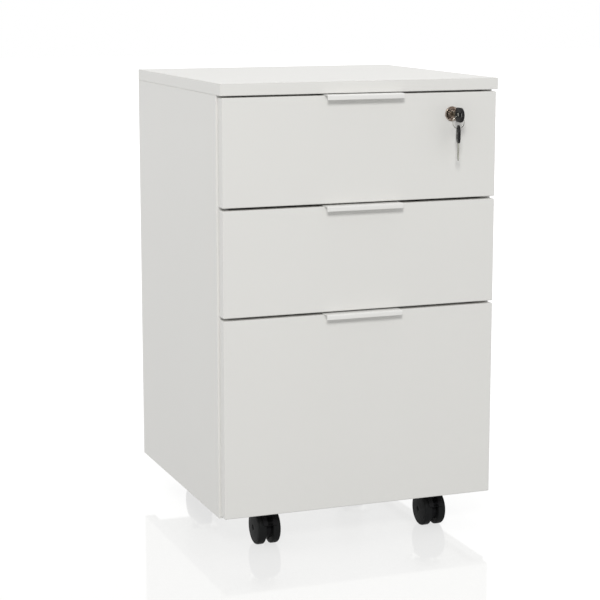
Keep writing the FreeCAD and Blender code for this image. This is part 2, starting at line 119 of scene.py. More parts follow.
def useGroup(tree, group, links):
    node = tree.nodes.new("ShaderNodeGroup")
    node.node_tree = group
    for name, value in links.items():
        if isinstance(value, bpy.types.NodeSocket):
            tree.links.new(value, node.inputs[name])
        else:
            node.inputs[name].default_value = value
    return node.outputs


# effects that several materials share

def makeToneDrift():
    # slow change of tone over a surface, around 1
    tree, given, out = newGroup(
        "toneDrift",
        [("Vector", "Vector", None), ("Scale", "Float", 6.0), ("Amount", "Float", 0.03)],
        [("Tone", "Float")],
    )
    links = {"Vector": given["Vector"], "Scale": given["Scale"], "Detail": 3.0, "Roughness": 0.55}
    noise = addNode(tree, "TexNoise", links).outputs["Fac"]
    swing = calc(tree, "MULTIPLY", calc(tree, "SUBTRACT", noise, 0.5), given["Amount"])
    tree.links.new(calc(tree, "MULTIPLY_ADD", swing, 2.0, 1.0), out["Tone"])
    return tree


def makeSkin():
    # fine moulded, pressed or sprayed skin: a height with a coarse and a fine part
    tree, given, out = newGroup(
        "skin",
        [("Vector", "Vector", None), ("Scale", "Float", 900.0), ("Coarse", "Float", 0.5)],
        [("Height", "Float"), ("Speck", "Float")],
    )
    fineLinks = {"Vector": given["Vector"], "Scale": given["Scale"], "Detail": 2.0}
    fine = addNode(tree, "TexNoise", fineLinks).outputs["Fac"]
    coarseScale = calc(tree, "MULTIPLY", given["Scale"], 0.22)
    coarseLinks = {"Vector": given["Vector"], "Scale": coarseScale, "Detail": 1.0}
    coarse = addNode(tree, "TexNoise", coarseLinks).outputs["Fac"]
    tree.links.new(calc(tree, "MULTIPLY_ADD", coarse, given["Coarse"], fine), out["Height"])
    tree.links.new(remap(tree, fine, 0.62, 0.78), out["Speck"])
    return tree


def makeEdgeWear():
    # where an edge is worn: a rounded normal beside the true one, broken up by noise
    tree, given, out = newGroup(
        "edgeWear",
        [("Vector", "Vector", None), ("Radius", "Float", 0.0008), ("Amount", "Float", 0.5)],
        [("Mask", "Float")],
    )
    rounded = addNode(tree, "Bevel", {"Radius": given["Radius"]}, samples=4).outputs["Normal"]
    true = addNode(tree, "NewGeometry").outputs["Normal"]
    dot = addNode(tree, "VectorMath", {0: rounded, 1: true}, operation="DOT_PRODUCT").outputs["Value"]
    bend = remap(tree, calc(tree, "SUBTRACT", 1.0, dot), 0.01, 0.14)
    noiseLinks = {"Vector": given["Vector"], "Scale": 140.0, "Detail": 4.0, "Roughness": 0.7}
    noise = addNode(tree, "TexNoise", noiseLinks).outputs["Fac"]
    broken = calc(tree, "MULTIPLY", bend, remap(tree, noise, 0.35, 0.65))
    tree.links.new(calc(tree, "MULTIPLY", broken, given["Amount"], clamp=True), out["Mask"])
    return tree


def makeScuffs():
    # long thin scratches and rubs, in two directions
    tree, given, out = newGroup(
        "scuffs",
        [("Vector", "Vector", None), ("Scale", "Float", 30.0), ("Amount", "Float", 0.3)],
        [("Mask", "Float")],
    )
    masks = []
    for turn, squeeze in ((0.4, 14.0), (-0.9, 22.0)):
        turned = {"Rotation": (turn, turn * 0.7, turn), "Scale": (1.0, squeeze, 3.0)}
        mapped = addNode(tree, "Mapping", {"Vector": given["Vector"], **turned}).outputs["Vector"]
        noiseLinks = {"Vector": mapped, "Scale": given["Scale"], "Detail": 5.0, "Roughness": 0.62}
        noise = addNode(tree, "TexNoise", noiseLinks).outputs["Fac"]
        masks.append(remap(tree, noise, 0.66, 0.74))
    both = calc(tree, "MAXIMUM", masks[0], masks[1])
    tree.links.new(calc(tree, "MULTIPLY", both, given["Amount"], clamp=True), out["Mask"])
    return tree


def makeDust():
    # thin dust that settles on what faces up
    tree, given, out = newGroup(
        "dust",
        [("Vector", "Vector", None), ("Scale", "Float", 60.0), ("Amount", "Float", 0.2)],
        [("Mask", "Float")],
    )
    normal = addNode(tree, "NewGeometry").outputs["Normal"]
    up = addNode(tree, "SeparateXYZ", {"Vector": normal}).outputs["Z"]
    facing = remap(tree, up, 0.2, 0.95)
    links = {"Vector": given["Vector"], "Scale": given["Scale"], "Detail": 6.0, "Roughness": 0.7}
    noise = addNode(tree, "TexNoise", links).outputs["Fac"]
    cover = calc(tree, "MULTIPLY", facing, remap(tree, noise, 0.35, 0.75))
    tree.links.new(calc(tree, "MULTIPLY", cover, given["Amount"], clamp=True), out["Mask"])
    return tree


def makeLines():
    # straight fine lines from rolling, brushing or growth, along the stretched axis
    tree, given, out = newGroup(
        "lines",
        [("Vector", "Vector", None), ("Stretch", "Vector", (1.0, 1.0, 1.0)), ("Scale", "Float", 400.0)],
        [("Height", "Float"), ("Tone", "Float")],
    )
    spread = vectorCalc(tree, "MULTIPLY", given["Vector"], given["Stretch"])
    links = {"Vector": spread, "Scale": given["Scale"], "Detail": 4.0, "Roughness": 0.6}
    noise = addNode(tree, "TexNoise", links).outputs["Fac"]
    tree.links.new(noise, out["Height"])
    tree.links.new(remap(tree, noise, 0.3, 0.7), out["Tone"])
    return tree


def makeBandSeam():
    # glue line of an edge band: a thin line a band's thickness in from a board's own edges
    tree, given, out = newGroup(
        "bandSeam",
        [
            ("Vector", "Vector", None),
            ("Low", "Vector", (0.0, 0.0, 0.0)),
            ("High", "Vector", (1.0, 1.0, 1.0)),
            ("Inset", "Float", 0.001),
            ("Width", "Float", 0.00012),
        ],
        [("Mask", "Float")],
    )
    below = vectorCalc(tree, "SUBTRACT", given["Vector"], given["Low"])
    above = vectorCalc(tree, "SUBTRACT", given["High"], given["Vector"])
    nearest = vectorCalc(tree, "MINIMUM", below, above)
    axes = addNode(tree, "SeparateXYZ", {"Vector": nearest}).outputs
    lines = []
    for name in "XYZ":
        offset = calc(tree, "ABSOLUTE", calc(tree, "SUBTRACT", axes[name], given["Inset"]))
        lines.append(calc(tree, "LESS_THAN", offset, given["Width"]))
    every = calc(tree, "MAXIMUM", calc(tree, "MAXIMUM", lines[0], lines[1]), lines[2])
    tree.links.new(every, out["Mask"])
    return tree


toneDrift = makeToneDrift()
skin = makeSkin()
edgeWear = makeEdgeWear()
scuffs = makeScuffs()
dust = makeDust()
lines = makeLines()
bandSeam = makeBandSeam()
print("shader effects made")


# materials

def newMaterial(name, settings):
    # returns the material, its nodes, its shader and its object coordinates
    material = bpy.data.materials.new(name)
    material.use_nodes = True
    tree = material.node_tree
    shader = tree.nodes["Principled BSDF"]
    for socket, value in settings.items():
        shader.inputs[socket].default_value = value
    place = addNode(tree, "TexCoord").outputs["Object"]
    return material, tree, shader, place


def addBump(tree, shader, height, depth):
    bump = addNode(tree, "Bump", {"Height": height, "Distance": depth})
    tree.links.new(bump.outputs["Normal"], shader.inputs["Normal"])


def driftingBase(tree, place, base, finish):
    # the base colour with a slow change of tone over the surface
    links = {"Vector": place, "Scale": finish["toneScale"], "Amount": finish["toneAmount"]}
    tone = useGroup(tree, toneDrift, links)["Tone"]
    scaled = addNode(tree, "VectorMath", {0: base[:3], "Scale": tone}, operation="SCALE")
    return scaled.outputs["Vector"]


def wornBase(tree, place, base, finish):
    # the colour so far, with its edges worn
    links = {"Vector": place, "Radius": finish["wearRadius"], "Amount": finish["wearAmount"]}
    return mixColor(tree, useGroup(tree, edgeWear, links)["Mask"], base, finish["worn"])


def scuffMarks(tree, place, finish):
    links = {"Vector": place, "Scale": finish["scuffScale"], "Amount": finish["scuffAmount"]}
    return useGroup(tree, scuffs, links)["Mask"]


def dustFilm(tree, place, finish):
    links = {"Vector": place, "Scale": finish["dustScale"], "Amount": finish["dustAmount"]}
    return useGroup(tree, dust, links)["Mask"]


def pressedSkin(tree, place, finish):
    links = {"Vector": place, "Scale": finish["skinScale"], "Coarse": finish["skinCoarse"]}
    return useGroup(tree, skin, links)


boardFinish = {
    "facing": color(0.79, 0.786, 0.764),
    "seam": color(0.50, 0.49, 0.46),
    "worn": color(0.86, 0.855, 0.84),
    "dust": color(0.60, 0.585, 0.55),
    "toneScale": 5.0,
    "toneAmount": 0.012,
    "skinScale": 1400.0,
    "skinCoarse": 0.8,
    "skinDepth": 0.012 * mm,
    "speckAmount": 0.04,
    "seamAmount": 0.30,
    "seamDepth": -1.5,      # in heights of the skin
    "wearRadius": 0.9 * mm,
    "wearAmount": 0.35,
    "dustScale": 45.0,
    "dustAmount": 0.05,
    "scuffScale": 9.0,
    "scuffAmount": 0.5,
    "roughness": (0.36, 0.46),
}


def makeBoardMaterial(name, low, high):
    # satin melamine facing with banded edges
    finish = boardFinish
    material, tree, shader, place = newMaterial(name, {"Specular IOR Level": 0.35, "IOR": 1.48})
    base = driftingBase(tree, place, finish["facing"], finish)
    pressed = pressedSkin(tree, place, finish)
    specks = calc(tree, "MULTIPLY", pressed["Speck"], finish["speckAmount"])
    base = mixColor(tree, specks, base, finish["seam"])
    seam = useGroup(tree, bandSeam, {"Vector": place, "Low": low, "High": high})["Mask"]
    base = mixColor(tree, calc(tree, "MULTIPLY", seam, finish["seamAmount"]), base, finish["seam"])
    base = wornBase(tree, place, base, finish)
    film = dustFilm(tree, place, finish)
    tree.links.new(mixColor(tree, film, base, finish["dust"]), shader.inputs["Base Color"])
    marks = scuffMarks(tree, place, finish)
    matt = calc(tree, "ADD", calc(tree, "MULTIPLY", marks, 0.5), film)
    tree.links.new(remap(tree, matt, 0.0, 1.0, *finish["roughness"]), shader.inputs["Roughness"])
    height = calc(tree, "MULTIPLY_ADD", seam, finish["seamDepth"], pressed["Height"])
    addBump(tree, shader, height, finish["skinDepth"])
    return material


drawerBoardFinish = {
    "facing": color(0.77, 0.765, 0.74),
    "worn": color(0.62, 0.57, 0.48),
    "dust": color(0.58, 0.56, 0.52),
    "toneScale": 9.0,
    "toneAmount": 0.02,
    "wearRadius": 0.6 * mm,
    "wearAmount": 0.6,
    "dustScale": 70.0,
    "dustAmount": 0.12,
    "skinScale": 1100.0,
    "skinCoarse": 0.6,
    "skinDepth": 0.01 * mm,
    "roughness": (0.40, 0.52),
}


def makeDrawerBoard():
    # thinner board of the drawer boxes, with raw-looking fine edges
    finish = drawerBoardFinish
    material, tree, shader, place = newMaterial("drawerBoardFacing", {"Specular IOR Level": 0.3})
    base = wornBase(tree, place, driftingBase(tree, place, finish["facing"], finish), finish)
    film = dustFilm(tree, place, finish)
    tree.links.new(mixColor(tree, film, base, finish["dust"]), shader.inputs["Base Color"])
    pressed = pressedSkin(tree, place, finish)["Height"]
    tree.links.new(remap(tree, pressed, 0.4, 1.1, *finish["roughness"]), shader.inputs["Roughness"])
    addBump(tree, shader, pressed, finish["skinDepth"])
    return material


thinBoardFinish = {
    "paint": color(0.75, 0.74, 0.705),
    "fibre": color(0.55, 0.50, 0.43),
    "worn": color(0.36, 0.25, 0.16),
    "fibreStretch": (1.0, 0.6, 0.35),
    "fibreScale": 420.0,
    "fibreAmount": 0.10,
    "fibreDepth": 0.04 * mm,
    "toneScale": 12.0,
    "toneAmount": 0.03,
    "wearRadius": 0.5 * mm,
    "wearAmount": 0.7,
    "roughness": (0.48, 0.62),
}


def makeThinBoard():
    # painted hardboard: the felted fibres still show through the paint
    finish = thinBoardFinish
    material, tree, shader, place = newMaterial("paintedHardboard", {"Specular IOR Level": 0.25})
    lineLinks = {"Vector": place, "Stretch": finish["fibreStretch"], "Scale": finish["fibreScale"]}
    fibre = useGroup(tree, lines, lineLinks)
    base = driftingBase(tree, place, finish["paint"], finish)
    showing = calc(tree, "MULTIPLY", fibre["Tone"], finish["fibreAmount"])
    base = wornBase(tree, place, mixColor(tree, showing, base, finish["fibre"]), finish)
    tree.links.new(base, shader.inputs["Base Color"])
    rough = remap(tree, fibre["Height"], 0.3, 0.7, *finish["roughness"])
    tree.links.new(rough, shader.inputs["Roughness"])
    addBump(tree, shader, fibre["Height"], finish["fibreDepth"])
    return material


dowelFinish = {
    "early": color(0.60, 0.42, 0.25),
    "late": color(0.73, 0.56, 0.37),
    "pores": color(0.38, 0.24, 0.13),
    "grainStretch": (0.12, 1.0, 1.0),
    "grainScale": 900.0,
    "grainDepth": 0.08 * mm,
    "skinScale": 2200.0,
    "skinCoarse": 0.3,
    "poreAmount": 0.5,
    "roughness": (0.55, 0.70),
}


def makeDowelWood():
    finish = dowelFinish
    material, tree, shader, place = newMaterial("beechDowel", {"Specular IOR Level": 0.25})
    lineLinks = {"Vector": place, "Stretch": finish["grainStretch"], "Scale": finish["grainScale"]}
    grain = useGroup(tree, lines, lineLinks)
    base = mixColor(tree, grain["Tone"], finish["early"], finish["late"])
    pores = pressedSkin(tree, place, finish)["Speck"]
    base = mixColor(tree, calc(tree, "MULTIPLY", pores, finish["poreAmount"]), base, finish["pores"])
    tree.links.new(base, shader.inputs["Base Color"])
    rough = remap(tree, grain["Height"], 0.3, 0.7, *finish["roughness"])
    tree.links.new(rough, shader.inputs["Roughness"])
    addBump(tree, shader, grain["Height"], finish["grainDepth"])
    return material


powderCoatFinish = {
    "coat": color(0.83, 0.828, 0.81),
    "worn": color(0.66, 0.66, 0.65),
    "toneScale": 30.0,
    "toneAmount": 0.01,
    "wearRadius": 0.5 * mm,
    "wearAmount": 0.25,
    "skinScale": 700.0,
    "skinCoarse": 1.4,
    "skinDepth": 0.05 * mm,
    "scuffScale": 40.0,
    "scuffAmount": 0.6,
    "roughness": (0.33, 0.50),
}


def makePowderCoat():
    # sprayed and baked coat with a soft orange-peel skin
    finish = powderCoatFinish
    material, tree, shader, place = newMaterial("handlePowderCoat", {"Specular IOR Level": 0.45})
    base = wornBase(tree, place, driftingBase(tree, place, finish["coat"], finish), finish)
    tree.links.new(base, shader.inputs["Base Color"])
    sprayed = pressedSkin(tree, place, finish)["Height"]
    marks = scuffMarks(tree, place, finish)
    tree.links.new(remap(tree, marks, 0.0, 1.0, *finish["roughness"]), shader.inputs["Roughness"])
    addBump(tree, shader, sprayed, finish["skinDepth"])
    return material


steelFinishes = {
    "slideSteel": {
        "bright": color(0.70, 0.71, 0.72), "dull": color(0.58, 0.59, 0.60),
        "stretch": (1.0, 0.03, 1.0), "scale": 1600.0, "roughness": (0.24, 0.40), "depth": 0.006 * mm,
    },
    "zincPlate": {
        "bright": color(0.74, 0.735, 0.70), "dull": color(0.52, 0.52, 0.50),
        "stretch": (1.0, 1.0, 1.0), "scale": 260.0, "roughness": (0.28, 0.48), "depth": 0.01 * mm,
    },
    "keyBlade": {
        "bright": color(0.38, 0.38, 0.33), "dull": color(0.16, 0.16, 0.13),
        "stretch": (1.0, 1.0, 0.05), "scale": 2200.0, "roughness": (0.20, 0.36), "depth": 0.006 * mm,
    },
    "ringWire": {
        "bright": color(0.42, 0.42, 0.38), "dull": color(0.24, 0.24, 0.21),
        "stretch": (1.0, 1.0, 1.0), "scale": 1800.0, "roughness": (0.10, 0.24), "depth": 0.003 * mm,
    },
}
steelWear = {
    "worn": color(0.82, 0.82, 0.82),
    "wearRadius": 0.3 * mm,
    "wearAmount": 0.6,
    "scuffScale": 60.0,
    "scuffAmount": 0.7,
}


def makeSteel(name):
    # rolled, plated or polished metal with wear and light scratches
    finish = {**steelWear, **steelFinishes[name]}
    material, tree, shader, place = newMaterial(name, {"Metallic": 1.0})
    lineLinks = {"Vector": place, "Stretch": finish["stretch"], "Scale": finish["scale"]}
    rolled = useGroup(tree, lines, lineLinks)
    base = mixColor(tree, rolled["Tone"], finish["dull"], finish["bright"])
    tree.links.new(wornBase(tree, place, base, finish), shader.inputs["Base Color"])
    marks = calc(tree, "MULTIPLY", scuffMarks(tree, place, finish), 0.5)
    matt = calc(tree, "MULTIPLY_ADD", rolled["Tone"], 0.5, marks)
    tree.links.new(remap(tree, matt, 0.0, 1.0, *finish["roughness"]), shader.inputs["Roughness"])
    addBump(tree, shader, rolled["Height"], finish["depth"])
    return material


nickelFinish = {
    "plate": color(0.44, 0.38, 0.33),
    "tarnish": color(0.14, 0.095, 0.07),
    "worn": color(0.62, 0.58, 0.53),
    "wearRadius": 0.4 * mm,
    "wearAmount": 0.8,
    "skinScale": 420.0,
    "skinCoarse": 1.0,
    "skinDepth": 0.012 * mm,
    "scuffScale": 90.0,
    "scuffAmount": 0.8,
    "roughness": (0.10, 0.30),
}


def makeLockNickel():
    # polished nickel plate, warm and slightly tarnished
    finish = nickelFinish
    material, tree, shader, place = newMaterial("lockNickel", {"Metallic": 1.0})
    spots = pressedSkin(tree, place, finish)["Height"]
    base = mixColor(tree, remap(tree, spots, 0.75, 1.15), finish["plate"], finish["tarnish"])
    tree.links.new(wornBase(tree, place, base, finish), shader.inputs["Base Color"])
    marks = scuffMarks(tree, place, finish)
    tree.links.new(remap(tree, marks, 0.0, 1.0, *finish["roughness"]), shader.inputs["Roughness"])
    addBump(tree, shader, spots, finish["skinDepth"])
    return material


plasticFinishes = {
    "keyHeadPlastic": {
        "base": color(0.011, 0.011, 0.012), "worn": color(0.055, 0.055, 0.055), "wearAmount": 0.35,
        "skinScale": 2600.0, "skinDepth": 0.02 * mm, "roughness": (0.28, 0.44), "dustAmount": 0.05,
        "ior": 1.30,
    },
    "hoodNylon": {
        "base": color(0.013, 0.013, 0.014), "worn": color(0.034, 0.034, 0.034), "wearAmount": 0.4,
        "skinScale": 1500.0, "skinDepth": 0.05 * mm, "roughness": (0.36, 0.52), "dustAmount": 0.04,
        "ior": 1.12,
    },
    "wheelNylon": {
        "base": color(0.015, 0.0155, 0.016), "worn": color(0.038, 0.038, 0.036), "wearAmount": 0.5,
        "skinScale": 1100.0, "skinDepth": 0.04 * mm, "roughness": (0.40, 0.58), "dustAmount": 0.05,
        "ior": 1.12,
    },
}
plasticWear = {
    "dust": color(0.30, 0.29, 0.27),
    "dustScale": 160.0,
    "toneScale": 60.0,
    "toneAmount": 0.15,
    "wearRadius": 0.6 * mm,
    "scuffScale": 50.0,
    "scuffAmount": 0.35,
    "skinCoarse": 0.6,
    "specular": 0.30,
}


def makePlastic(name):
    # black moulded plastic, greyer where it is rubbed
    finish = {**plasticWear, **plasticFinishes[name]}
    settings = {"Specular IOR Level": finish["specular"], "IOR": finish["ior"]}
    material, tree, shader, place = newMaterial(name, settings)
    base = wornBase(tree, place, driftingBase(tree, place, finish["base"], finish), finish)
    marks = scuffMarks(tree, place, finish)
    base = mixColor(tree, marks, base, finish["worn"])
    film = dustFilm(tree, place, finish)
    tree.links.new(mixColor(tree, film, base, finish["dust"]), shader.inputs["Base Color"])
    moulded = pressedSkin(tree, place, finish)
    matt = calc(tree, "MULTIPLY_ADD", marks, 0.5, moulded["Speck"])
    tree.links.new(remap(tree, matt, 0.0, 1.0, *finish["roughness"]), shader.inputs["Roughness"])
    addBump(tree, shader, moulded["Height"], finish["skinDepth"])
    return material


finishes = {
    "drawer_board": makeDrawerBoard(),
    "thin_board": makeThinBoard(),
    "dowel_wood": makeDowelWood(),
    "white_powder_coat": makePowderCoat(),
    "slide_steel": makeSteel("slideSteel"),
    "zinc": makeSteel("zincPlate"),
    "lock_chrome": makeLockNickel(),
    "ringWire": makeSteel("ringWire"),
    "keyBlade": makeSteel("keyBlade"),
    "key_plastic": makePlastic("keyHeadPlastic"),
    "caster_plastic": makePlastic("hoodNylon"),
    "wheel_plastic": makePlastic("wheelNylon"),
}
for part in frame["record"]["subparts"]:
    node = frame["nodes"][part["node"]]
    slotName = part["material_slot"]
    if slotName == "laminated_board":
        low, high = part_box(part["node"])
        finish = makeBoardMaterial("melamine_" + part["node"], low, high)
    else:
        finish = finishes[slotName]
    for holder in node.material_slots:
        holder.material = finish
print("materials made:", len(bpy.data.materials))


# mesh helpers

def finishPiece(mesh, name, finish, body, replaced, smoothAngle=32.0):
    mesh.materials.clear()
    mesh.materials.append(finish)
    mesh.polygons.foreach_set("use_smooth", [True] * len(mesh.polygons))
    mesh.set_sharp_from_angle(angle=radians(smoothAngle))
    mesh.update()
    piece = bpy.data.objects.new(name, mesh)
    scene.collection.objects.link(piece)
    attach(piece, body)
    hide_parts(*replaced)


def meshFrom(build):
    # runs build(bm) and returns a clean mesh with outward normals
    bm = bmesh.new()
    build(bm)
    bmesh.ops.recalc_face_normals(bm, faces=bm.faces)
    mesh = bpy.data.meshes.new("shape")
    bm.to_mesh(mesh)
    bm.free()
    return mesh


def arc(centre, radius, start, end, steps):
    # points on an arc in a plane, angles in degrees
    angles = [radians(start + (end - start) * i / steps) for i in range(steps + 1)]
    return [(centre[0] + radius * cos(a), centre[1] + radius * sin(a)) for a in angles]


def lathe(bm, profile, steps, place):
    # turns a closed profile of (along, radius) about an axis
    # place(along, across, up) puts a point in the frame
    rings = []
    for i in range(steps):
        turn = 2 * pi * i / steps
        rings.append([bm.verts.new(place(u, r * cos(turn), r * sin(turn))) for u, r in profile])
    for i in range(steps):
        near = rings[i]
        far = rings[(i + 1) % steps]
        for j in range(len(profile)):
            k = (j + 1) % len(profile)
            bm.faces.new((near[j], near[k], far[k], far[j]))
    bmesh.ops.remove_doubles(bm, verts=bm.verts, dist=1e-7)


def extrudeOutline(bm, outline, ends, place, softness, segments=2):
    # a prism between two ends along its axis, with its end rims rounded
    near = [bm.verts.new(place(ends[0], a, b)) for a, b in outline]
    far = [bm.verts.new(place(ends[1], a, b)) for a, b in outline]
    caps = [bm.faces.new(near), bm.faces.new(far)]
    for i in range(len(outline)):
        j = (i + 1) % len(outline)
        bm.faces.new((near[i], near[j], far[j], far[i]))
    if softness:
        rims = list({edge for cap in caps for edge in cap.edges})
        bmesh.ops.bevel(
            bm, geom=rims, offset=softness, segments=segments, profile=0.5,
            affect="EDGES", clamp_overlap=True,
        )


def plate(bm, outlines, thickness, softness, matrix):
    # a flat plate cut from outlines, the first outside and the rest holes, with rounded rims
    curve = bpy.data.curves.new("plate", "CURVE")
    curve.dimensions = "2D"
    curve.fill_mode = "BOTH"
    curve.extrude = thickness / 2 - softness
    curve.bevel_depth = softness
    curve.bevel_resolution = 3
    curve.offset = -softness
    for outline in outlines:
        spline = curve.splines.new("POLY")
        spline.points.add(len(outline) - 1)
        for point, (a, b) in zip(spline.points, outline):
            point.co = (a, b, 0.0, 1.0)
        spline.use_cyclic_u = True
    holder = bpy.data.objects.new("plate", curve)
    mesh = bpy.data.meshes.new_from_object(holder)
    mesh.transform(matrix)
    bm.from_mesh(mesh)
    bpy.data.meshes.remove(mesh)
    bpy.data.objects.remove(holder)
    bpy.data.curves.remove(curve)
    bmesh.ops.remove_doubles(bm, verts=bm.verts, dist=2e-6)


def cutAway(mesh, cutters):
    # takes the cutters' volume out of the mesh
    whole = bpy.data.objects.new("whole", mesh)
    scene.collection.objects.link(whole)
    tools = []
    for cutter in cutters:
        tool = bpy.data.objects.new("cutter", cutter)
        scene.collection.objects.link(tool)
        tools.append(tool)
        step = whole.modifiers.new("cut", "BOOLEAN")
        step.operation = "DIFFERENCE"
        step.solver = "EXACT"
        step.object = tool
    depsgraph = bpy.context.evaluated_depsgraph_get()
    result = bpy.data.meshes.new_from_object(whole.evaluated_get(depsgraph))
    for holder in tools + [whole]:
        bpy.data.objects.remove(holder)
    return result


# directions for outlines: an axis and the two directions across it

def alongX(along, across, up):
    return Vector((along, across, up))


def alongY(along, across, up):
    return Vector((across, along, up))


# handles: a strip folded over each drawer face

handle = {
    "steel": 1.5 * mm,
    "lip": 7.0 * mm,
    "innerBend": 0.5 * mm,
    "tipRound": 0.45 * mm,
    "endRound": 0.35 * mm,
}


def handleOutline(low, high, faceTop):
    # the section from the side, as (y, z): from the leg's tip over the flange to the lip's tip, and back
    steel = handle["steel"]
    inner = handle["innerBend"]
    outer = inner + steel
    tip = handle["tipRound"]
    lipBottom = high.z - handle["lip"]
    legOuter, legInner = high.y, high.y - steel
    lipOuter, lipInner = low.y, low.y + steel
    points = arc((legOuter - tip, low.z + tip), tip, -90, 0, 4)
    points += arc((legInner - inner, faceTop - inner), outer, 0, 90, 10)
    points += arc((lipInner + inner, faceTop - inner), outer, 90, 180, 10)
    points += arc((lipOuter + tip, lipBottom + tip), tip, 180, 270, 4)
    points += arc((lipInner - tip, lipBottom + tip), tip, 270, 360, 4)
    points += arc((lipInner + inner, faceTop - inner), inner, 180, 90, 5)
    points += arc((legInner - inner, faceTop - inner), inner, 90, 0, 5)
    points += arc((legInner + tip, low.z + tip), tip, 180, 270, 4)
    return points


for drawer in drawerNames:
    low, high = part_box(drawer + "_handle")
    outline = handleOutline(low, high, high.z - handle["steel"])
    ends = (low.x, high.x)
    mesh = meshFrom(lambda bm: extrudeOutline(bm, outline, ends, alongX, handle["endRound"], 3))
    finishPiece(
        mesh, drawer + "_folded_pull", finishes["white_powder_coat"], drawer,
        [drawer + "_handle"],
    )
print("handles made")


# lock: a turned bezel with its threaded barrel, and the plug that the key turns

lock = {
    "bezelRadius": 10.0 * mm,
    "bezelHeight": 2.0 * mm,
    "bezelRound": 0.9 * mm,
    "bezelFoot": (0.05 * mm, 0.1 * mm),     # the small step where the bezel meets the face
    "bezelFace": (      # depth behind the front and radius, in mm
        (0.5, 6.1), (0.1, 6.5), (0.0, 6.8), (0.0, 7.4), (0.35, 7.6), (0.35, 7.9), (0.0, 8.1), (0.02, 8.9),
    ),
    "barrelRadius": 8.5 * mm,
    "barrelChamfer": 0.4 * mm,
    "threadStart": 1.0 * mm,
    "threadShape": ((0.0, 0.0), (0.45, 0.0), (0.75, 0.35 * mm)),     # share of the pitch, and depth
    "pitch": 1.25 * mm,
    "bore": 6.1 * mm,
    "plugFace": (       # depth behind the front and radius, in mm
        (0.0, 0.0), (0.0, 4.6), (0.18, 4.8), (0.0, 5.0), (0.0, 5.55), (0.12, 5.88), (0.45, 6.0),
    ),
    "plugRadius": 6.0 * mm,
    "tailRadius": 3.0 * mm,
    "tailChamfer": 0.3 * mm,
    "slot": (2.1 * mm, 7.3 * mm),
    "slotDepth": 24.0 * mm,
}
lockPivot = Vector(joints["lock_turn"]["pos_m"])


def lockPlace(along, across, up):
    # along counts backwards from the face of the drawer
    return lockPivot + Vector((across, along, up))


def facePoints(front, face):
    return [(front + depth * mm, radius * mm) for depth, radius in face]


def housingProfile():
    rim = lock["bezelRadius"]
    bend = lock["bezelRound"]
    barrel = lock["barrelRadius"]
    front = -lock["bezelHeight"]
    profile = facePoints(front, lock["bezelFace"])
    profile += [(front + bend - b, a) for a, b in arc((rim - bend, 0.0), bend, 78, 0, 7)]
    footHeight, footStep = lock["bezelFoot"]
    profile += [(-footHeight, rim), (0.0, rim - footStep), (0.0, barrel)]
    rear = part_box("lock_housing")[1].y - lockPivot.y
    along = lock["threadStart"]
    while along + lock["pitch"] < rear - lock["threadStart"]:
        for share, depth in lock["threadShape"]:
            profile.append((along + share * lock["pitch"], barrel - depth))
        along += lock["pitch"]
    chamfer = lock["barrelChamfer"]
    profile += [(rear - chamfer, barrel), (rear, barrel - chamfer), (rear, lock["bore"])]
    return profile


mesh = meshFrom(lambda bm: lathe(bm, housingProfile(), 72, lockPlace))
finishPiece(
    mesh, "lock_bezel_and_barrel", finishes["lock_chrome"], "top_drawer", ["lock_housing"]
)


def plugProfile():
    low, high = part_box("lock_plug")
    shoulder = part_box("lock_cam")[0].y - lockPivot.y
    rear = high.y - lockPivot.y
    tail = lock["tailRadius"]
    chamfer = lock["tailChamfer"]
    profile = facePoints(low.y - lockPivot.y, lock["plugFace"])
    profile += [(shoulder, lock["plugRadius"]), (shoulder, tail), (rear - chamfer, tail)]
    profile += [(rear, tail - chamfer), (rear, 0.0)]
    return profile


def slotCutter(bm):
    half, high = (side / 2 for side in lock["slot"])
    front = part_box("lock_plug")[0].y
    corners = [(-half, -high), (half, -high), (half, high), (-half, high)]
    outline = [(lockPivot.x + a, lockPivot.z + b) for a, b in corners]
    extrudeOutline(bm, outline, (front - 2 * mm, front + lock["slotDepth"]), alongY, 0.0)


plug = cutAway(meshFrom(lambda bm: lathe(bm, plugProfile(), 64, lockPlace)), [meshFrom(slotCutter)])
finishPiece(plug, "lock_plug_face", finishes["lock_chrome"], "lock_core", ["lock_plug"])
print("lock made")


# keys: a moulded head on a cut blade, in the key's own frame with its blade along +X

key = {
    "headLength": 24.0 * mm,
    "headWidth": 20.0 * mm,
    "headThickness": 3.8 * mm,
    "headRound": 0.4 * mm,
    "padThickness": 3.0 * mm,       # the head's rim is thinner than its middle
    "padRound": 0.7 * mm,
    "padInset": 1.7 * mm,
    "shoulder": 2.4 * mm,
    "shoulderStep": 0.3 * mm,
    "shoulderRound": 2.2 * mm,
    "neckWidth": 12.0 * mm,
    "windows": ((3.8 * mm, 9.8 * mm), (12.8 * mm, 18.8 * mm)),
    "windowWidth": 5.4 * mm,
    "windowRim": 0.8 * mm,
    "windowRound": 1.2 * mm,
    "bladeLength": 24.0 * mm,
    "bladeInHead": 6.0 * mm,
    "bladeWidth": 7.0 * mm,
    "bladeThickness": 1.8 * mm,
    "bladeRound": 0.15 * mm,
    "coreThickness": 1.1 * mm,      # at the bottom of the milled groove
    "coreRound": 0.12 * mm,
    "groove": 0.7 * mm,
    "tip": 2.0 * mm,
    "barShort": 2.4 * mm,
    "barMargins": (0.1 * mm, 1.3 * mm),
    "cuts": (0.9 * mm, 0.4 * mm, 1.1 * mm, 0.7 * mm, 1.2 * mm),
    "firstCut": 7.0 * mm,
    "cutPitch": 2.8 * mm,
    "cutHalf": (1.15 * mm, 0.4 * mm),
}


